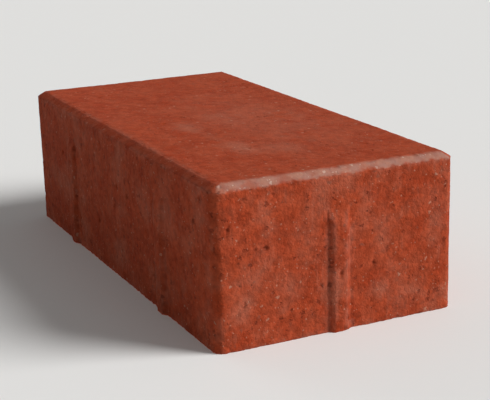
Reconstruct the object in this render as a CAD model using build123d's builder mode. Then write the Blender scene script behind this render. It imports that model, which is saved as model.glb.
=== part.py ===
from build123d import *
import os

# A rectangular concrete paving stone, pressed in one piece. It lies on its bed face, with its
# wearing face up. Sizes are in millimetres. The origin is the middle of the bed face, X runs along
# the stone and Z up. The laying grid is twice as long as it is wide, so the stone fits any bond.

# The laying grid, which holds one stone and its share of the joints round it
grid_length = 200.0
grid_width = 100.0
joint = 3.0

# The body: vertical sides with rounded corners, between a flat bed face and a flat wearing face
thickness = 60.0
corner_radius = 4.0

# The sloping rim round the wearing face, measured level and upright, and the face's own corners
rim_width = 3.5
rim_drop = 2.2
face_corner_radius = 1.0

# The spacer nibs, low ribs that run up each side from the bed and stop short of the rim
nib_root_width = 9.0
nib_bearing_width = 5.0
nib_top_clearance = 14.0
nib_lead_in = 5.0

body_length = grid_length - joint
body_width = grid_width - joint
face_length = body_length - 2 * rim_width
face_width = body_width - 2 * rim_width
shoulder_height = thickness - rim_drop

# Two nibs meet in every joint. Those of a long side stand half a grid length apart, so they also
# meet the nibs of a row that is laid with a half offset.
nib_proud = joint / 2
nib_spacing = grid_length / 2
nib_height = thickness - nib_top_clearance
nib_bearing_height = nib_height - nib_lead_in

# Each side's plane, with its own X along the side and its Y up, and where its nibs stand on it
pair_of_nibs = (-nib_spacing / 2, nib_spacing / 2)
sides = [
    (Plane((body_length / 2, 0, 0), x_dir=(0, 1, 0), z_dir=(1, 0, 0)), (0,)),
    (Plane((-body_length / 2, 0, 0), x_dir=(0, -1, 0), z_dir=(-1, 0, 0)), (0,)),
    (Plane((0, body_width / 2, 0), x_dir=(-1, 0, 0), z_dir=(0, 1, 0)), pair_of_nibs),
    (Plane((0, -body_width / 2, 0), x_dir=(1, 0, 0), z_dir=(0, -1, 0)), pair_of_nibs),
]

with BuildPart() as paving_stone:
    with BuildSketch() as body_outline:
        RectangleRounded(body_length, body_width, corner_radius)
    extrude(amount=shoulder_height)

    with BuildSketch(Plane.XY.offset(shoulder_height)) as shoulder_outline:
        RectangleRounded(body_length, body_width, corner_radius)
    with BuildSketch(Plane.XY.offset(thickness)) as face_outline:
        RectangleRounded(face_length, face_width, face_corner_radius)
    loft(ruled=True)

    for side, nib_places in sides:
        for nib_place in nib_places:
            with BuildSketch(side) as nib_root:
                with Locations((nib_place, 0)):
                    Rectangle(nib_root_width, nib_height, align=(Align.CENTER, Align.MIN))
            with BuildSketch(side.offset(nib_proud)) as nib_bearing:
                with Locations((nib_place, 0)):
                    Rectangle(nib_bearing_width, nib_bearing_height, align=(Align.CENTER, Align.MIN))
            loft(ruled=True)

paving_stone.part.label = "paving_stone"

os.makedirs("parts", exist_ok=True)
export_step(paving_stone.part, "parts/paving_stone.step")
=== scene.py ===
import math
import random
from collections import namedtuple

import bmesh
import bpy
from bpy.props import FloatProperty, FloatVectorProperty, IntProperty, PointerProperty
from mathutils import Matrix, Vector, noise
from mathutils.kdtree import KDTree


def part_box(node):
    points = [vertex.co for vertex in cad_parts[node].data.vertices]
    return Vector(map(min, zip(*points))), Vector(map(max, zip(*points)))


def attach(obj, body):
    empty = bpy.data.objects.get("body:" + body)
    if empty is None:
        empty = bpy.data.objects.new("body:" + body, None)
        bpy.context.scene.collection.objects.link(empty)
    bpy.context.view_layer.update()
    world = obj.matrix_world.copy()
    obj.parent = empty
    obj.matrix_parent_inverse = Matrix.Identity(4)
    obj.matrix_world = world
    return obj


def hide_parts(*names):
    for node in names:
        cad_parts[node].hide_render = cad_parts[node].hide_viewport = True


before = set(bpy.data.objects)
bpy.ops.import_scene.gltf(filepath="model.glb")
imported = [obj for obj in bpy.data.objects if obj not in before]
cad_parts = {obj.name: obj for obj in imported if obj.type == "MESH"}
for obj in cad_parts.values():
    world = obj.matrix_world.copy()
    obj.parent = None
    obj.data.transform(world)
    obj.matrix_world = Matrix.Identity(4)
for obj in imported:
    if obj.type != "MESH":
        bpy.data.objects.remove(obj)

# One pressed red concrete paving stone. The imported solid gives its form, and this script gives it
# the surface of worn concrete: the swell and grain of its faces, pits, chipped arrises, drag marks
# down its sides, an open bed face, and the colour of pigment, sand and lime bloom. Part of that colour
# is painted light: a painted sheen and glints on the two short rims, and painted shade in the pores
# and pits.
# Every length is in metres. X runs along the stone, Z is up, and the bed face lies at height 0.

bl_info = {
    "name": "Concrete paving stone",
    "version": (1, 0, 0),
    "blender": (4, 5, 0),
    "location": "View3D > Sidebar > Paving",
    "description": "Dresses a pressed concrete paving stone and sets it on a studio floor",
    "category": "Add Mesh",
}

MM = 0.001
NODE = "paving_stone"
PIECE = "pressed_stone"
BODY = "root"

# The zones of the stone, in the order of its material slots
FACE, SIDE, BED = range(3)

# Points closer than this are one point, and flatter folds than this are one face
WELD = 0.001 * MM
FLAT_FOLD = math.radians(1)

# How far upwards a face of the solid points: the bed face at most, the wearing face and its rim
# at least, and the level part of the wearing face at least
BED_UPWARDS = -0.9
FACE_UPWARDS = 0.5
LEVEL_UPWARDS = 0.99

# An arris is a fold at least this sharp, and a long one is at least this long
ARRIS_FOLD = math.radians(25)
LONG_ARRIS = 20 * MM

# Distances from a long arris at which the faces beside it are cut
FLANKS = (0.3 * MM, 0.7 * MM, 1.2 * MM)

# How long the waves of each kind of relief are, and how little the drag marks change upwards
SWELL_LENGTH = 38 * MM
GRAIN_LENGTH = 2.8 * MM
LUMP_LENGTH = 4.5 * MM
TEAR_LENGTH = 9 * MM
CRUMB_LENGTH = 3.2 * MM
DRAG_LENGTH = 1.3 * MM
DRAG_STRETCH = 0.04

# How high the lumps of the rough zones stand, how deep torn skin cuts into them, and the share of
# the drag marks that is lost where the skin is torn
LUMP_HEIGHT = {SIDE: 0.10 * MM, BED: 0.16 * MM}
TEAR_DEPTH = {SIDE: 0.45 * MM, BED: 0.30 * MM}
DRAG_LOST = 0.8

# Torn skin: how strong it is, how much lies everywhere, and how it thins out with height
TEAR_STRENGTH = 2.0
TEAR_EVERYWHERE = 0.15
TEAR_AT_BED = 1.25
TEAR_RISE = 70 * MM

# How far from an arris its wear reaches, how much closer to it the crumbling stays and how much
# of that is even, and how far in the wearing face begins to drop towards its rim
WEAR_REACH = 1.1 * MM
CRUMBLE_CLOSENESS = 2.6
CRUMBLE_EVEN = 0.25
SHOULDER_REACH = 1.6 * MM

# The radius of the smallest pit, the size of the largest one of the wearing face against that of
# the rough zones, and the depth of a pit against its radius
SMALLEST_PIT = 0.45 * MM
FACE_PIT_SIZE = 0.55
PIT_DEPTH = 0.7

# The radius of the smallest chip and how much the largest adds to it, and the depth of the
# shallowest against the deepest
SMALLEST_CHIP = 1.2 * MM
CHIP_GROWTH = 3.5 * MM
SHALLOWEST_CHIP = 0.25

# The width beyond a flaw in which the skin is divided too, how small its cells get and in how
# many passes, how uneven its rim is and in what lengths, and the depth at which it is fully marked
FLAW_MARGIN = 1.25
FLAW_CELL = 0.5 * MM
FLAW_PASSES = 2
FLAW_UNEVENNESS = 0.45
FLAW_RIM_LENGTH = 0.9 * MM
FULL_MARK = 0.4 * MM

STONE_SEED = 11

# How much of each cover shows on the concrete, from 0 to 1; the pore and pit shades are painted
# shade in the hollows
PALE_SHARE = 0.6
PUDDLE_SHARE = 0.18
SCRAPE_SHARE = 0.08
WEAR_SHARE = 0.12
CHIP_SHARE = 0.16
# Part lime bloom and part painted sheen: the pale band of the two short rims
SHEEN_AND_BLOOM_SHARE = 0.52
CHALK_SAND_SHARE = 0.6
BARE_GRAIN_SHARE = 0.38
FINE_GRAIN_SHARE = 0.34
GLINT_SHARE = 0.42
PORE_SHADE = 0.50
PIT_SHADE = 0.30

# A bare grain is dark above the first of these draws, and a grain in the pale band of the short
# rims gets a painted glint, a speck of painted highlight, above the second
DARK_GRAIN = 0.62
GLINTING_GRAIN = 0.985

# Half the floor's width, how far it lies below the bed face, and where it fades into the backdrop
FLOOR_REACH = 6.0
FLOOR_DROP = 0.02 * MM
FADE_START = 0.45
FADE_END = 1.7

# Light that starts from the bed face this close to the floor passes through the floor
BED_GAP = 0.4 * MM

# How wide the soft lamps look from the stone
LAMP_SPREAD = math.radians(31)

# A pit or a chip: a ball pressed into the skin, and the attribute that marks how deep it went
Flaw = namedtuple("Flaw", "centre outwards radius depth mark")

# What the concrete of a zone is like: how much dust veils it, the size of its sand grains and
# how much they differ in tone, the shares of grains that lie bare and of places with a pore, how
# much the whole varies in tone, and the height of its finest relief
Finish = namedtuple("Finish", "name veil grain tones bare pores mottle relief")
FINISHES = (
    Finish("wearing_face_concrete", 0.02, 1.1 * MM, 0.15, 0.010, 0.07, 0.21, 0.08 * MM),
    Finish("moulded_side_concrete", 0.15, 1.3 * MM, 0.26, 0.012, 0.22, 0.26, 0.18 * MM),
    Finish("bed_face_concrete", 0.16, 1.6 * MM, 0.30, 0.025, 0.34, 0.30, 0.22 * MM),
)

# The dust that a drying puddle left on the wearing face, a wide film and the smears in it: the
# middle of each and its reach along X and Y, in millimetres, and how thick it lies
SMEARS = (
    ((14, 13), (90, 38), 0.42),
    ((2, 1), (20, 12), 0.36),
    ((14, 24), (30, 10), 0.25),
    ((11, -20), (15, 9), 0.70),
    ((28, -18), (17, 5), 0.40),
    ((52, -16), (17, 8), 0.85),
    ((62, -3), (14, 12), 0.45),
)


class PavingStoneSizes(bpy.types.PropertyGroup):
    """The sizes of the stone's relief"""

    face_cell: FloatProperty(
        name="Face cell", description="Spacing of the cuts across the wearing face",
        default=0.8 * MM, min=0.5 * MM, precision=5, unit="LENGTH", subtype="DISTANCE")
    side_cell: FloatProperty(
        name="Side cell", description="Spacing of the level cuts up the sides",
        default=1.25 * MM, min=0.8 * MM, precision=5, unit="LENGTH", subtype="DISTANCE")
    bed_cell: FloatProperty(
        name="Bed cell", description="Spacing of the cuts across the bed face",
        default=2.4 * MM, min=0.8 * MM, precision=5, unit="LENGTH", subtype="DISTANCE")
    swell: FloatProperty(
        name="Swell", description="Height of the slow swell of the pressed faces",
        default=0.12 * MM, min=0.0, precision=5, unit="LENGTH", subtype="DISTANCE")
    grain: FloatProperty(
        name="Grain", description="Height of the sandy grain of the faces",
        default=0.05 * MM, min=0.0, precision=5, unit="LENGTH", subtype="DISTANCE")
    shoulder: FloatProperty(
        name="Shoulder", description="How far the wearing face drops towards its rim",
        default=0.16 * MM, min=0.0, precision=5, unit="LENGTH", subtype="DISTANCE")
    crumble: FloatProperty(
        name="Crumble", description="How far the arrises have crumbled away",
        default=0.24 * MM, min=0.0, precision=5, unit="LENGTH", subtype="DISTANCE")
    drag: FloatProperty(
        name="Drag marks", description="Depth of the upright marks that the mould leaves",
        default=0.10 * MM, min=0.0, precision=5, unit="LENGTH", subtype="DISTANCE")
    pit_count: IntProperty(
        name="Pits", description="Number of open pits in the faces", default=220, min=0)
    pit_radius: FloatProperty(
        name="Pit radius", description="Radius of the largest pits",
        default=1.3 * MM, min=0.2 * MM, precision=5, unit="LENGTH", subtype="DISTANCE")
    chip_count: IntProperty(
        name="Chips", description="Number of chips along the arrises", default=120, min=0)
    chip_depth: FloatProperty(
        name="Chip depth", description="Depth of the deepest chips",
        default=0.65 * MM, min=0.0, precision=5, unit="LENGTH", subtype="DISTANCE")


class PavingStoneColours(bpy.types.PropertyGroup):
    """The colours of the concrete"""

    pigment: FloatVectorProperty(
        name="Pigment", description="The iron red of the pigmented cement",
        default=(0.296, 0.044, 0.0145), size=3, min=0.0, max=1.0, subtype="COLOR")
    deep_pigment: FloatVectorProperty(
        name="Deep pigment", description="The red where the pigment lies thickest",
        default=(0.264, 0.034, 0.0100), size=3, min=0.0, max=1.0, subtype="COLOR")
    pale_pigment: FloatVectorProperty(
        name="Pale pigment", description="The red where the cement skin is thin",
        default=(0.324, 0.062, 0.0270), size=3, min=0.0, max=1.0, subtype="COLOR")
    # Lime on the worn arrises and chips; on the two short rims it is a painted sheen as well as lime bloom
    lime_and_sheen: FloatVectorProperty(
        name="Lime bloom", description="The pale lime on the short rims and the worn arrises",
        default=(0.37, 0.26, 0.215), size=3, min=0.0, max=1.0, subtype="COLOR")
    dust: FloatVectorProperty(
        name="Dust", description="The pale film, smears and veils of dust",
        default=(0.44, 0.27, 0.195), size=3, min=0.0, max=1.0, subtype="COLOR")
    sand: FloatVectorProperty(
        name="Pale sand", description="The pale grains that lie bare in the skin",
        default=(0.46, 0.27, 0.19), size=3, min=0.0, max=1.0, subtype="COLOR")
    # Painted highlight: the bright specks that glint in the pale band of the short rims
    quartz_glint: FloatVectorProperty(
        name="Quartz", description="The few bright grains among the sand",
        default=(0.62, 0.47, 0.385), size=3, min=0.0, max=1.0, subtype="COLOR")
    flint: FloatVectorProperty(
        name="Dark sand", description="The dark grains that lie bare in the skin",
        default=(0.12, 0.060, 0.042), size=3, min=0.0, max=1.0, subtype="COLOR")
    # Painted shade: the dark mixed into the pores and pits, where their hollows fall in shade
    hollow: FloatVectorProperty(
        name="Hollows", description="The dark of the pores and pits",
        default=(0.12, 0.018, 0.008), size=3, min=0.0, max=1.0, subtype="COLOR")


class PavingStageSettings(bpy.types.PropertyGroup):
    """The studio round the stone"""

    floor: FloatVectorProperty(
        name="Floor", description="The colour of the studio floor",
        default=(0.76, 0.755, 0.74), size=3, min=0.0, max=1.0, subtype="COLOR")
    backdrop: FloatVectorProperty(
        name="Backdrop", description="The colour that the far floor and the sky have in the picture",
        default=(0.74, 0.735, 0.72), size=3, min=0.0, max=1.0, subtype="COLOR")
    key_level: FloatProperty(
        name="Key light", description="Level of the soft main light, in watts per square metre",
        default=4.0, min=0.0)
    fill_level: FloatProperty(
        name="Fill light",
        description="Level of the weak light on the shaded sides, in watts per square metre",
        default=0.24, min=0.0)
    sky: FloatProperty(
        name="Sky", description="Strength of the even light from all round", default=0.22, min=0.0)
    under: FloatProperty(
        name="Light from below", description="Strength of the light that only the bed face gets",
        default=0.9, min=0.0)


def merged_cast(node):
    """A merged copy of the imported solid's mesh, with every flat face whole and its zone marked"""
    cast = bmesh.new()
    cast.from_mesh(node.data)
    bmesh.ops.remove_doubles(cast, verts=cast.verts, dist=WELD)
    bmesh.ops.dissolve_limit(cast, angle_limit=FLAT_FOLD, verts=cast.verts, edges=cast.edges)
    for face in cast.faces:
        if face.normal.z < BED_UPWARDS:
            face.material_index = BED
        else:
            face.material_index = FACE if face.normal.z > FACE_UPWARDS else SIDE
    return cast


def rim_lines(cast):
    """How far the flat wearing face reaches along X and Y, and how high the foot of its rim lies"""
    flat = [corner.co for face in cast.faces if face.normal.z > LEVEL_UPWARDS
            for corner in face.verts]
    sloping = [corner.co for face in cast.faces if face.material_index == FACE
               for corner in face.verts]
    return {"Face end": max(place.x for place in flat), "Face side": max(place.y for place in flat),
            "Rim foot": min(place.z for place in sloping)}


def long_arris_levels(cast, axis):
    """Where along one axis the long level arrises lie that run across it"""
    levels = set()
    for edge in cast.edges:
        run = edge.verts[1].co - edge.verts[0].co
        if abs(run[axis]) < WELD and math.hypot(run.x, run.y) > LONG_ARRIS:
            levels.add(round(edge.verts[0].co[axis], 6))
    return sorted(levels)


def cut_places(low, high, spacing, levels):
    """Even places between low and high, and closer ones beside each arris level"""
    clear = FLANKS[-1] + spacing / 2
    count = round((high - low) / spacing)
    even = [low + (high - low) * step / count for step in range(1, count)]
    places = [place for place in even if all(abs(place - level) > clear for level in levels)]
    places += [level + side * flank for level in levels for flank in FLANKS for side in (-1, 1)]
    return sorted(place for place in places if low + WELD < place < high - WELD)


def cut_across(cast, zones, axis, places):
    """Cuts the faces of some zones with planes across one axis"""
    faces = [face for face in cast.faces if face.material_index in zones]
    parts = faces + list({edge for face in faces for edge in face.edges})
    parts += list({corner for face in faces for corner in face.verts})
    square_to = Vector((axis == 0, axis == 1, axis == 2))
    for place in places:
        cut = bmesh.ops.bisect_plane(
            cast, geom=parts, dist=WELD, plane_co=square_to * place, plane_no=square_to)
        parts = cut["geom"]


def cut_into_cells(cast, low, high, sizes):
    """Cuts the whole skin into small cells, finer beside the arrises and coarser on the bed face"""
    levels = [long_arris_levels(cast, axis) for axis in range(3)]
    for axis in (0, 1):
        places = cut_places(low[axis], high[axis], sizes.face_cell, levels[axis])
        cut_across(cast, (FACE, SIDE), axis, places)
    cut_across(cast, (SIDE,), 2, cut_places(low.z, high.z, sizes.side_cell, levels[2]))
    for axis in (0, 1):
        places = cut_places(low[axis], high[axis], sizes.bed_cell, levels[axis])
        cut_across(cast, (BED,), axis, places)


def arris_tree(cast):
    """A search tree of the points along every arris, and the edges themselves"""
    arrises = [edge for edge in cast.edges if edge.calc_face_angle(0.0) > ARRIS_FOLD]
    tree = KDTree(2 * len(arrises))
    for number, edge in enumerate(arrises):
        start, end = (corner.co for corner in edge.verts)
        tree.insert(start, 2 * number)
        tree.insert((start + end) / 2, 2 * number + 1)
    tree.balance()
    return tree, arrises


def choose_pits(cast, sizes, dice):
    """Open pits at random places, smaller ones on the wearing face"""
    faces = cast.faces[:]
    pits = []
    for face in dice.choices(faces, weights=[face.calc_area() for face in faces], k=sizes.pit_count):
        size = dice.random() ** 2
        largest = sizes.pit_radius * (FACE_PIT_SIZE if face.material_index == FACE else 1.0)
        radius = SMALLEST_PIT + (largest - SMALLEST_PIT) * size
        centre = face.calc_center_median()
        pits.append(Flaw(centre, face.normal.copy(), radius, radius * PIT_DEPTH, "hollow"))
    return pits


def choose_chips(arrises, sizes, dice):
    """Shallow scoops along the arrises, many small and a few large"""
    chips = []
    lengths = [edge.calc_length() for edge in arrises]
    for edge in dice.choices(arrises, weights=lengths, k=sizes.chip_count):
        size = dice.random() ** 3
        outwards = (edge.link_faces[0].normal + edge.link_faces[1].normal).normalized()
        depth = sizes.chip_depth * (SHALLOWEST_CHIP + (1 - SHALLOWEST_CHIP) * size)
        radius = SMALLEST_CHIP + CHIP_GROWTH * size
        centre = (edge.verts[0].co + edge.verts[1].co) / 2
        chips.append(Flaw(centre, outwards, radius, depth, "broken"))
    return chips


def flaw_reach(flaw):
    """How far from its centre a flaw may mark the skin: the reach of a ball sunk to its depth, and more"""
    depth = min(flaw.depth, flaw.radius)
    return math.sqrt(depth * (2 * flaw.radius - depth)) * FLAW_MARGIN


def divide_round(cast, flaws, largest_cell, passes):
    """Divides the cells that a flaw reaches until they are small, so that its rim is round"""
    reaches = [flaw_reach(flaw) for flaw in flaws]
    tree = KDTree(len(flaws))
    for number, flaw in enumerate(flaws):
        tree.insert(flaw.centre, number)
    tree.balance()
    widest = max(reaches, default=0.0)
    for _ in range(passes):
        edges = set()
        for edge in cast.edges:
            middle = (edge.verts[0].co + edge.verts[1].co) / 2
            if edge.calc_length() > largest_cell and any(
                    away < reaches[number] for _, number, away in tree.find_range(middle, widest)):
                edges.add(edge)
        bmesh.ops.subdivide_edges(cast, edges=list(edges), cuts=1, use_grid_fill=True)


def torn_skin(point, zone):
    """How torn and open the skin is at a point: never on the wearing face, most near the bed face"""
    if zone == FACE:
        return 0.0
    low_down = TEAR_AT_BED - point.z / TEAR_RISE
    uneven = TEAR_STRENGTH * noise.fractal(point / TEAR_LENGTH, 0.9, 2.0, 2)
    return min(1.0, max(0.0, uneven * low_down + TEAR_EVERYWHERE))


def relief(point, zone, torn, sizes):
    """How far the skin stands out at a point, in metres"""
    skin = sizes.swell * noise.fractal(point / SWELL_LENGTH, 1.0, 2.0, 2)
    skin += sizes.grain * noise.fractal(point / GRAIN_LENGTH, 0.5, 2.0, 2)
    if zone == FACE:
        return skin
    if zone == SIDE:
        dragged = Vector((point.x, point.y, point.z * DRAG_STRETCH)) / DRAG_LENGTH
        skin += sizes.drag * noise.noise(dragged) * (1 - DRAG_LOST * torn)
    lumps = noise.fractal(point / LUMP_LENGTH, 0.8, 2.0, 3)
    return skin + LUMP_HEIGHT[zone] * lumps - TEAR_DEPTH[zone] * torn * abs(lumps)


def zone_of(corner):
    """The zone of a point of the skin, the roughest one where zones meet"""
    return max(face.material_index for face in corner.link_faces)


def raise_relief(cast, tree, sizes):
    """Gives every zone its relief, rounds and crumbles the arrises, and marks wear and torn skin"""
    wear_layer = cast.verts.layers.float.new("arris_wear")
    torn_layer = cast.verts.layers.float.new("torn_skin")
    cast.normal_update()
    top = max(corner.co.z for corner in cast.verts) - WELD
    moves = []
    for corner in cast.verts:
        away, zone = tree.find(corner.co)[2], zone_of(corner)
        torn = torn_skin(corner.co, zone)
        corner[wear_layer] = math.exp(-(away / WEAR_REACH) ** 2)
        corner[torn_layer] = torn
        ragged = max(0.0, noise.fractal(corner.co / CRUMB_LENGTH, 0.7, 2.1, 3) + CRUMBLE_EVEN)
        lost = sizes.crumble * ragged * math.exp(-(CRUMBLE_CLOSENESS * away / WEAR_REACH) ** 2)
        if corner.co.z > top:
            lost += sizes.shoulder * max(0.0, 1 - away / SHOULDER_REACH) ** 2
        moves.append(corner.normal * (relief(corner.co, zone, torn, sizes) - lost))
    for corner, move in zip(cast.verts, moves):
        corner.co += move


def press_flaws(cast, flaws):
    """Presses a ball into the skin at each flaw, with an uneven rim, and marks how deep it went"""
    marks = {mark: cast.verts.layers.float.new(mark) for mark in ("hollow", "broken")}
    cast.verts.ensure_lookup_table()
    tree = KDTree(len(cast.verts))
    for corner in cast.verts:
        tree.insert(corner.co, corner.index)
    tree.balance()
    for flaw in flaws:
        for _, index, _ in tree.find_range(flaw.centre, flaw_reach(flaw)):
            corner = cast.verts[index]
            offset = corner.co - flaw.centre
            height = offset.dot(flaw.outwards)
            aside = (offset - flaw.outwards * height).length
            aside *= 1 + FLAW_UNEVENNESS * noise.noise(corner.co / FLAW_RIM_LENGTH)
            if aside < flaw.radius:
                floor = flaw.radius - flaw.depth - math.sqrt(flaw.radius ** 2 - aside ** 2)
                if height > floor:
                    corner.co -= flaw.outwards * (height - floor)
                    depth = (height - floor) / FULL_MARK
                    corner[marks[flaw.mark]] = min(1.0, max(corner[marks[flaw.mark]], depth))


def keep_inside(cast, low, high):
    """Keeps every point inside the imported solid's box, so that the stone lies flat on its bed"""
    for corner in cast.verts:
        corner.co = [min(max(value, a), b) for value, a, b in zip(corner.co, low, high)]


def feed(tree, socket, value):
    """Links an input to another node's socket, or sets it to a plain value"""
    if isinstance(value, bpy.types.NodeSocket):
        tree.links.new(value, socket)
    else:
        socket.default_value = value


def put(tree, kind, inputs=(), **settings):
    """Adds a node, sets or links its inputs by name or number, and gives it back"""
    made = tree.nodes.new(kind)
    for name, value in settings.items():
        setattr(made, name, value)
    for key, value in dict(inputs).items():
        feed(tree, made.inputs[key], value)
    return made


def math_of(tree, operation, *values, clamp=False):
    """The result of a Math node"""
    return put(tree, "ShaderNodeMath", enumerate(values), operation=operation,
               use_clamp=clamp).outputs[0]


def between(tree, value, low, high, to_low=0.0, to_high=1.0):
    """A value eased from one number to another as it goes from low to high"""
    return put(tree, "ShaderNodeMapRange", {
        "Value": value, "From Min": low, "From Max": high, "To Min": to_low, "To Max": to_high},
        interpolation_type="SMOOTHSTEP").outputs["Result"]


def cloud(tree, place, scale, detail=3.0):
    """A cloudy noise, from 0 to 1"""
    return put(tree, "ShaderNodeTexNoise", {
        "Vector": place, "Scale": scale, "Detail": detail, "Roughness": 0.55})


def bent(tree, place, scale, reach):
    """A place moved aside by a cloudy noise, so that what is drawn there has ragged edges"""
    moved = put(tree, "ShaderNodeVectorMath", {
        0: cloud(tree, place, scale).outputs["Color"], 1: (0.5, 0.5, 0.5)}, operation="SUBTRACT")
    shift = put(tree, "ShaderNodeVectorMath", {0: moved.outputs[0], "Scale": reach},
                operation="SCALE")
    return put(tree, "ShaderNodeVectorMath", {0: place, 1: shift.outputs[0]},
               operation="ADD").outputs[0]


def mixed(tree, share, first, second, blend="MIX"):
    """The result of mixing two colours"""
    node = tree.nodes.new("ShaderNodeMix")
    node.data_type = "RGBA"
    node.blend_type = blend
    sockets = {socket.name: socket for socket in node.inputs if socket.enabled}
    for key, value in {"Factor": share, "A": first, "B": second}.items():
        feed(tree, sockets[key], value)
    return next(socket for socket in node.outputs if socket.enabled)


def new_group(name, inputs, outputs):
    """An empty shader node group with named sockets, and its input and output nodes"""
    tree = bpy.data.node_groups.new(name, "ShaderNodeTree")
    for label, default in inputs.items():
        kind = "NodeSocketVector" if default is None else "NodeSocketFloat"
        socket = tree.interface.new_socket(label, in_out="INPUT", socket_type=kind)
        if default is not None:
            socket.default_value = default
    for label in outputs:
        tree.interface.new_socket(label, in_out="OUTPUT", socket_type="NodeSocketFloat")
    return tree, tree.nodes.new("NodeGroupInput").outputs, tree.nodes.new("NodeGroupOutput").inputs


def patches_group():
    """Soft patches of a stated size: 0 outside them, 1 inside"""
    tree, given, result = new_group(
        "patches", {"Vector": None, "Size": 10 * MM, "Detail": 3.0, "Low": 0.4, "High": 0.6},
        ["Mask"])
    scale = math_of(tree, "DIVIDE", 1.0, given["Size"])
    drawn = cloud(tree, given["Vector"], scale, given["Detail"]).outputs["Fac"]
    tree.links.new(between(tree, drawn, given["Low"], given["High"]), result["Mask"])
    return tree


def sand_group():
    """Angular sand grains: a tone for each, a bare share of them, their kind and their domes"""
    tree, given, result = new_group(
        "sand_grains", {"Vector": None, "Size": 0.8 * MM, "Bare share": 0.02},
        ["Tone", "Bare", "Kind", "Height"])
    scale = math_of(tree, "DIVIDE", 1.0, given["Size"])
    place = bent(tree, given["Vector"], scale, math_of(tree, "MULTIPLY", given["Size"], 0.8))
    grains = put(tree, "ShaderNodeTexVoronoi", {"Vector": place, "Scale": scale})
    gaps = put(tree, "ShaderNodeTexVoronoi", {"Vector": place, "Scale": scale},
               feature="DISTANCE_TO_EDGE")
    drawn = put(tree, "ShaderNodeSeparateColor", {"Color": grains.outputs["Color"]}).outputs
    chosen = math_of(tree, "LESS_THAN", drawn["Green"], given["Bare share"])
    core = between(tree, gaps.outputs["Distance"], 0.03, 0.16)
    tree.links.new(drawn["Red"], result["Tone"])
    tree.links.new(math_of(tree, "MULTIPLY", chosen, core), result["Bare"])
    tree.links.new(drawn["Blue"], result["Kind"])
    dome = math_of(tree, "SUBTRACT", 1.0, grains.outputs["Distance"], clamp=True)
    tree.links.new(dome, result["Height"])
    return tree


def pores_group():
    """Ragged pores of uneven width, gathered in loose clusters"""
    tree, given, result = new_group(
        "pores", {"Vector": None, "Spacing": 2 * MM, "Share": 0.3, "Width": 0.4}, ["Mask"])
    scale = math_of(tree, "DIVIDE", 1.0, given["Spacing"])
    close = math_of(tree, "MULTIPLY", scale, 1.7)
    place = bent(tree, given["Vector"], close, math_of(tree, "MULTIPLY", given["Spacing"], 1.3))
    cells = put(tree, "ShaderNodeTexVoronoi", {"Vector": place, "Scale": scale})
    drawn = put(tree, "ShaderNodeSeparateColor", {"Color": cells.outputs["Color"]}).outputs
    wide = math_of(tree, "MULTIPLY", scale, 0.16)
    cluster = between(tree, cloud(tree, given["Vector"], wide).outputs["Fac"], 0.38, 0.66, 0.15, 1.8)
    share = math_of(tree, "MULTIPLY", given["Share"], cluster)
    chosen = math_of(tree, "LESS_THAN", drawn["Green"], share)
    size = math_of(tree, "POWER", drawn["Red"], 2.2)
    width = math_of(tree, "MULTIPLY", given["Width"], size)
    inside = math_of(tree, "SUBTRACT", width, cells.outputs["Distance"])
    tree.links.new(math_of(tree, "MULTIPLY", chosen, between(tree, inside, -0.02, 0.10)),
                   result["Mask"])
    return tree


def smear_group():
    """A soft oval smear round a stated middle, with a stated reach along each axis"""
    tree, given, result = new_group("smear", {"Vector": None, "Middle": None, "Reach": None},
                                    ["Mask"])
    offset = put(tree, "ShaderNodeVectorMath", {0: given["Vector"], 1: given["Middle"]},
                 operation="SUBTRACT").outputs[0]
    share = put(tree, "ShaderNodeVectorMath", {0: offset, 1: given["Reach"]},
                operation="DIVIDE").outputs[0]
    away = put(tree, "ShaderNodeVectorMath", {0: share}, operation="LENGTH").outputs["Value"]
    tree.links.new(between(tree, away, 1.0, 0.15), result["Mask"])
    return tree


def rim_sheen_and_bloom_group():
    """The pale band of the two short rims, part lime bloom and part painted sheen, ragged where it fades
    into the face and at its foot
    """
    tree, given, result = new_group(
        "rim_sheen_and_bloom", {"Vector": None, "Face end": 95 * MM, "Face side": 45 * MM,
                      "Rim foot": 57.8 * MM}, ["Mask"])
    place = bent(tree, given["Vector"], 1 / (3.5 * MM), 2.6 * MM)
    axes = put(tree, "ShaderNodeSeparateXYZ", {"Vector": place}).outputs
    endways = math_of(tree, "SUBTRACT", math_of(tree, "ABSOLUTE", axes["X"]), given["Face end"])
    sideways = math_of(tree, "SUBTRACT", math_of(tree, "ABSOLUTE", axes["Y"]), given["Face side"])
    above = math_of(tree, "SUBTRACT", axes["Z"], given["Rim foot"])
    inwards = between(tree, endways, -1.6 * MM, 1.1 * MM)
    round_corner = between(tree, math_of(tree, "SUBTRACT", endways, sideways), -0.4 * MM, 1.8 * MM)
    downwards = between(tree, above, -0.6 * MM, 0.7 * MM)
    thick = cloud(tree, given["Vector"], 1 / (6 * MM), 4.0).outputs["Fac"]
    shown = math_of(tree, "MULTIPLY", math_of(tree, "MULTIPLY", inwards, round_corner), downwards)
    tree.links.new(math_of(tree, "MULTIPLY", shown, between(tree, thick, 0.28, 0.56, 0.55, 1.0)),
                   result["Mask"])
    return tree


def use_group(tree, group, inputs):
    """Places a node group in a material with its own values"""
    return put(tree, "ShaderNodeGroup", inputs, node_tree=group).outputs


def puddle_haze(tree, groups, place, height):
    """The film of dust and its smears that a dried puddle left on the wearing face"""
    wandering = bent(tree, place, 1 / (9 * MM), 11 * MM)
    haze = 0.0
    for middle, reach, strength in SMEARS:
        smear = use_group(tree, groups["smear"], {
            "Vector": wandering, "Middle": (middle[0] * MM, middle[1] * MM, height),
            "Reach": (reach[0] * MM, reach[1] * MM, 1.0)})["Mask"]
        haze = math_of(tree, "MULTIPLY_ADD", smear, strength, haze, clamp=True)
    broken = use_group(tree, groups["patches"], {
        "Vector": place, "Size": 11 * MM, "Detail": 5.0, "Low": 0.28, "High": 0.58})["Mask"]
    return math_of(tree, "MULTIPLY", haze, broken)


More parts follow.
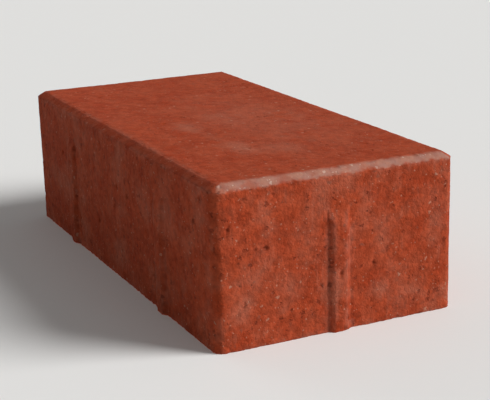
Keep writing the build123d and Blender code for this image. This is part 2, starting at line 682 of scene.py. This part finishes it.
def concrete(zone, groups, colours, rim):
    """A concrete finish: pigment in patches, sand, pores, lime bloom with a painted sheen on the short
    rims, worn arrises, painted shade in pores and pits, and their relief
    """
    finish = FINISHES[zone]
    material = bpy.data.materials.new(finish.name)
    material.use_nodes = True
    tree = material.node_tree
    tree.nodes.clear()
    place = put(tree, "ShaderNodeTexCoord").outputs["Object"]
    wear, torn, hollow, broken = (
        put(tree, "ShaderNodeAttribute", attribute_name=name).outputs["Fac"]
        for name in ("arris_wear", "torn_skin", "hollow", "broken"))
    pigment, deep, pale, lime_and_sheen, dust, sand_colour, quartz_glint, flint, dark = (
        (*colour, 1.0) for colour in (
            colours.pigment, colours.deep_pigment, colours.pale_pigment, colours.lime_and_sheen,
            colours.dust, colours.sand, colours.quartz_glint, colours.flint, colours.hollow))

    def patches(size, detail, low, high):
        return use_group(tree, groups["patches"], {
            "Vector": place, "Size": size, "Detail": detail, "Low": low, "High": high})["Mask"]

    def share_of(mask, share):
        return math_of(tree, "MULTIPLY", mask, share)

    sand = use_group(tree, groups["sand"], {
        "Vector": place, "Size": finish.grain, "Bare share": finish.bare})
    fine = use_group(tree, groups["sand"], {
        "Vector": place, "Size": finish.grain * 0.42, "Bare share": finish.bare * 1.5})
    open_share = math_of(tree, "MULTIPLY_ADD", torn, finish.pores, finish.pores)
    pores = use_group(tree, groups["pores"], {
        "Vector": place, "Spacing": 2.2 * MM, "Share": open_share, "Width": 0.52})["Mask"]
    sheen_and_bloom = use_group(tree, groups["sheen_and_bloom"], {"Vector": place, **rim})["Mask"]

    body = mixed(tree, patches(15 * MM, 2.0, 0.36, 0.64), deep, pigment)
    close = patches(6 * MM, 3.0, 0.32, 0.70)
    mottle = patches(3.2 * MM, 3.0, 0.30, 0.70)
    body = mixed(tree, share_of(close, PALE_SHARE), body, pale)
    tone = math_of(tree, "MULTIPLY_ADD", mottle, finish.mottle, 1.005 - finish.mottle / 2)
    for grains, spread in ((sand, finish.tones), (fine, finish.tones * 0.4)):
        tone = math_of(tree, "MULTIPLY", tone, math_of(
            tree, "MULTIPLY_ADD", grains["Tone"], spread, 1 - spread / 2))
    body = mixed(tree, 1.0, body, tone, "MULTIPLY")

    veil = share_of(patches(16 * MM, 5.0, 0.46, 0.74), finish.veil)
    if zone == FACE:
        puddle = puddle_haze(tree, groups, place, rim["Rim foot"])
        veil = math_of(tree, "MULTIPLY_ADD", puddle, PUDDLE_SHARE, veil)
    if zone == SIDE:
        upright = put(tree, "ShaderNodeMapping", {"Vector": place, "Scale": (1.0, 1.0, 0.10)})
        marks = cloud(tree, upright.outputs[0], 1 / (2.4 * MM), 2.0).outputs["Fac"]
        scraped = patches(12 * MM, 3.0, 0.40, 0.62)
        marks = math_of(tree, "MULTIPLY", marks, scraped)
        scrapes = between(tree, marks, 0.45, 0.75)
        veil = math_of(tree, "MULTIPLY_ADD", scrapes, SCRAPE_SHARE, veil)
    body = mixed(tree, veil, body, dust)
    worn = share_of(wear, share_of(close, WEAR_SHARE))
    worn = math_of(tree, "MAXIMUM", worn, share_of(broken, CHIP_SHARE))
    # The pale band of the short rims is part lime bloom and part painted sheen; the worn arrises and chips
    # are real wear
    sandy = share_of(patches(3.5 * MM, 3.0, 0.40, 0.60), CHALK_SAND_SHARE)
    chalk_and_sheen = mixed(tree, sandy, lime_and_sheen, sand_colour)
    body = mixed(tree, math_of(tree, "MAXIMUM", worn, share_of(sheen_and_bloom, SHEEN_AND_BLOOM_SHARE)), body, chalk_and_sheen)

    darker = math_of(tree, "GREATER_THAN", sand["Kind"], DARK_GRAIN)
    grain_colour = mixed(tree, darker, sand_colour, flint)
    body = mixed(tree, share_of(sand["Bare"], BARE_GRAIN_SHARE), body, grain_colour)
    body = mixed(tree, share_of(fine["Bare"], FINE_GRAIN_SHARE), body, sand_colour)
    # Painted glints: specks of painted highlight, only within the pale band of the short rims
    glints = math_of(tree, "MAXIMUM", *(
        math_of(tree, "GREATER_THAN", grains["Kind"], GLINTING_GRAIN) for grains in (fine, sand)))
    body = mixed(tree, share_of(sheen_and_bloom, share_of(glints, GLINT_SHARE)), body, quartz_glint)
    # Painted shade in the pores and in the pits pressed into the skin
    shade = math_of(tree, "MAXIMUM", share_of(pores, PORE_SHADE), share_of(hollow, PIT_SHADE))
    body = mixed(tree, shade, body, dark)

    height = math_of(tree, "MULTIPLY_ADD", fine["Height"], 0.5, sand["Height"])
    height = math_of(tree, "MULTIPLY_ADD", mottle, 0.9, height)
    height = math_of(tree, "MULTIPLY_ADD", pores, -1.6, height)
    if zone == SIDE:
        height = math_of(tree, "MULTIPLY_ADD", marks, 0.8, height)
    bump = put(tree, "ShaderNodeBump", {"Height": height, "Distance": finish.relief})
    rough = math_of(tree, "MULTIPLY_ADD", close, 0.06, 0.88)
    shader = put(tree, "ShaderNodeBsdfPrincipled", {
        "Base Color": body, "Roughness": rough, "Specular IOR Level": 0.08,
        "Normal": bump.outputs["Normal"]})
    put(tree, "ShaderNodeOutputMaterial", {"Surface": shader.outputs["BSDF"]})
    return material


class PAVING_OT_stone(bpy.types.Operator):
    """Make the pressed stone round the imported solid, with its relief and its concrete"""

    bl_idname = "paving.stone"
    bl_label = "Paving stone"

    def execute(self, context):
        sizes = context.scene.paving_stone_sizes
        colours = context.scene.paving_stone_colours
        low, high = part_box(NODE)
        dice = random.Random(STONE_SEED)
        cast = merged_cast(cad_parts[NODE])
        rim = rim_lines(cast)
        cut_into_cells(cast, low, high, sizes)
        tree, arrises = arris_tree(cast)
        flaws = choose_pits(cast, sizes, dice) + choose_chips(arrises, sizes, dice)
        divide_round(cast, flaws, FLAW_CELL, FLAW_PASSES)
        raise_relief(cast, tree, sizes)
        press_flaws(cast, flaws)
        keep_inside(cast, low, high)
        if any(not edge.is_manifold for edge in cast.edges):
            raise RuntimeError("the stone's skin is not closed")
        for face in cast.faces:
            face.smooth = True
        mesh = bpy.data.meshes.new(PIECE)
        cast.to_mesh(mesh)
        cast.free()
        groups = {"patches": patches_group(), "sand": sand_group(), "pores": pores_group(),
                  "smear": smear_group(), "sheen_and_bloom": rim_sheen_and_bloom_group()}
        for zone in (FACE, SIDE, BED):
            mesh.materials.append(concrete(zone, groups, colours, rim))
        stone = bpy.data.objects.new(PIECE, mesh)
        context.scene.collection.objects.link(stone)
        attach(stone, BODY)
        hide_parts(NODE)
        return {"FINISHED"}


class PAVING_OT_stage(bpy.types.Operator):
    """Set a pale floor, soft light and the camera round the stone"""

    bl_idname = "paving.stage"
    bl_label = "Studio stage"

    def execute(self, context):
        scene = context.scene
        settings = scene.paving_stage
        lay_floor(scene, settings)
        light_stage(scene, settings)
        place_camera(scene)
        scene.view_settings.view_transform = "Standard"
        return {"FINISHED"}


def lay_floor(scene, settings):
    """A wide plain floor that fades into the backdrop, clear from below and for the bed face's light"""
    floor_mesh = bpy.data.meshes.new("studio_floor")
    sheet = bmesh.new()
    bmesh.ops.create_grid(sheet, x_segments=1, y_segments=1, size=FLOOR_REACH)
    bmesh.ops.translate(sheet, verts=sheet.verts, vec=(0.0, 0.0, -FLOOR_DROP))
    sheet.to_mesh(floor_mesh)
    sheet.free()
    material = bpy.data.materials.new("studio_floor")
    material.use_nodes = True
    tree = material.node_tree
    tree.nodes.clear()
    shader = put(tree, "ShaderNodeBsdfPrincipled", {
        "Base Color": (*settings.floor, 1.0), "Roughness": 0.9, "Specular IOR Level": 0.1})
    away = put(tree, "ShaderNodeVectorMath", {0: put(tree, "ShaderNodeTexCoord").outputs["Object"]},
               operation="LENGTH").outputs["Value"]
    path = put(tree, "ShaderNodeLightPath").outputs
    fade = between(tree, away, FADE_START, FADE_END)
    far = math_of(tree, "MULTIPLY", fade, seen_directly(tree, path))
    backdrop = put(tree, "ShaderNodeEmission", {"Color": (*settings.backdrop, 1.0)})
    fading = put(tree, "ShaderNodeMixShader", {
        0: far, 1: shader.outputs["BSDF"], 2: backdrop.outputs["Emission"]})
    below = put(tree, "ShaderNodeNewGeometry").outputs["Backfacing"]
    touching = math_of(tree, "LESS_THAN", path["Ray Length"], BED_GAP)
    open_here = math_of(tree, "MAXIMUM", below, math_of(
        tree, "SUBTRACT", touching, path["Is Camera Ray"], clamp=True))
    clear = put(tree, "ShaderNodeBsdfTransparent")
    seen = put(tree, "ShaderNodeMixShader", {
        0: open_here, 1: fading.outputs["Shader"], 2: clear.outputs["BSDF"]})
    put(tree, "ShaderNodeOutputMaterial", {"Surface": seen.outputs["Shader"]})
    floor_mesh.materials.append(material)
    floor = bpy.data.objects.new("studio_floor", floor_mesh)
    scene.collection.objects.link(floor)


def hang_lamp(scene, name, level, turn, rise):
    """A wide soft light from far off, turned so many degrees from X and raised so many"""
    lamp = bpy.data.lights.new(name, "SUN")
    lamp.angle = LAMP_SPREAD
    lamp.energy = level
    hung = bpy.data.objects.new(name, lamp)
    turn, rise = math.radians(turn), math.radians(rise)
    towards = Vector((
        math.cos(turn) * math.cos(rise), math.sin(turn) * math.cos(rise), math.sin(rise)))
    hung.location = towards
    hung.rotation_euler = towards.to_track_quat("Z", "Y").to_euler()
    scene.collection.objects.link(hung)


def seen_directly(tree, path):
    """1 for the rays of the camera and of gloss and glass, which show the backdrop, and 0 for light"""
    gloss = math_of(tree, "MAXIMUM", path["Is Glossy Ray"], path["Is Transmission Ray"])
    return math_of(tree, "MAXIMUM", path["Is Camera Ray"], gloss)


def light_stage(scene, settings):
    """A soft key light beyond the far right corner, a weak fill light and even light all round"""
    hang_lamp(scene, "key_light", settings.key_level, turn=56, rise=34)
    hang_lamp(scene, "fill_light", settings.fill_level, turn=200, rise=25)
    world = bpy.data.worlds.new("studio_sky")
    world.use_nodes = True
    tree = world.node_tree
    tree.nodes.clear()
    height = put(tree, "ShaderNodeSeparateXYZ", {
        0: put(tree, "ShaderNodeTexCoord").outputs["Generated"]}).outputs["Z"]
    level = math_of(tree, "MULTIPLY_ADD", math_of(tree, "LESS_THAN", height, 0.0),
                    settings.under - settings.sky, settings.sky)
    sky = put(tree, "ShaderNodeBackground", {"Color": (1.0, 1.0, 1.0, 1.0), "Strength": level})
    backdrop = put(tree, "ShaderNodeBackground", {"Color": (*settings.backdrop, 1.0)})
    shown = put(tree, "ShaderNodeMixShader", {
        0: seen_directly(tree, put(tree, "ShaderNodeLightPath").outputs),
        1: sky.outputs["Background"], 2: backdrop.outputs["Background"]})
    put(tree, "ShaderNodeOutputWorld", {"Surface": shown.outputs["Shader"]})
    scene.world = world


def place_camera(scene):
    """The camera stands where the photograph was taken from, turned to hold the whole stone"""
    place = Vector((472.7 * MM, -214.8 * MM, 172.9 * MM))
    # Each sum is the angle of the photograph, and the turn that holds the whole stone
    heading = math.radians(58.4 + 6.1)
    dip = math.radians(15.05 + 0.95)
    roll = math.radians(-1.46)
    data = bpy.data.cameras.new("camera")
    data.lens = 94.3
    data.sensor_width = 36.0
    data.clip_start = 0.01
    camera = bpy.data.objects.new("camera", data)
    turn = Matrix.Rotation(heading, 4, "Z") @ Matrix.Rotation(math.pi / 2 - dip, 4, "X")
    camera.matrix_world = Matrix.Translation(place) @ turn @ Matrix.Rotation(roll, 4, "Z")
    scene.collection.objects.link(camera)
    scene.camera = camera


class PAVING_PT_panel(bpy.types.Panel):
    """The stone's sizes and colours, and the buttons that make it and its stage"""

    bl_idname = "PAVING_PT_panel"
    bl_label = "Paving stone"
    bl_space_type = "VIEW_3D"
    bl_region_type = "UI"
    bl_category = "Paving"

    def draw(self, context):
        layout = self.layout
        for title, group in (("Relief", context.scene.paving_stone_sizes),
                             ("Concrete", context.scene.paving_stone_colours),
                             ("Studio", context.scene.paving_stage)):
            layout.label(text=title)
            for name in group.__annotations__:
                layout.prop(group, name)
        layout.operator(PAVING_OT_stone.bl_idname)
        layout.operator(PAVING_OT_stage.bl_idname)


CLASSES = (PavingStoneSizes, PavingStoneColours, PavingStageSettings, PAVING_OT_stone,
           PAVING_OT_stage, PAVING_PT_panel)


def register():
    for made in CLASSES:
        bpy.utils.register_class(made)
    bpy.types.Scene.paving_stone_sizes = PointerProperty(type=PavingStoneSizes)
    bpy.types.Scene.paving_stone_colours = PointerProperty(type=PavingStoneColours)
    bpy.types.Scene.paving_stage = PointerProperty(type=PavingStageSettings)


def unregister():
    del bpy.types.Scene.paving_stage
    del bpy.types.Scene.paving_stone_colours
    del bpy.types.Scene.paving_stone_sizes
    for made in reversed(CLASSES):
        bpy.utils.unregister_class(made)


def main():
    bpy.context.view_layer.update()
    register()
    bpy.ops.paving.stone()
    bpy.ops.paving.stage()


if __name__ == "__main__":
    main()
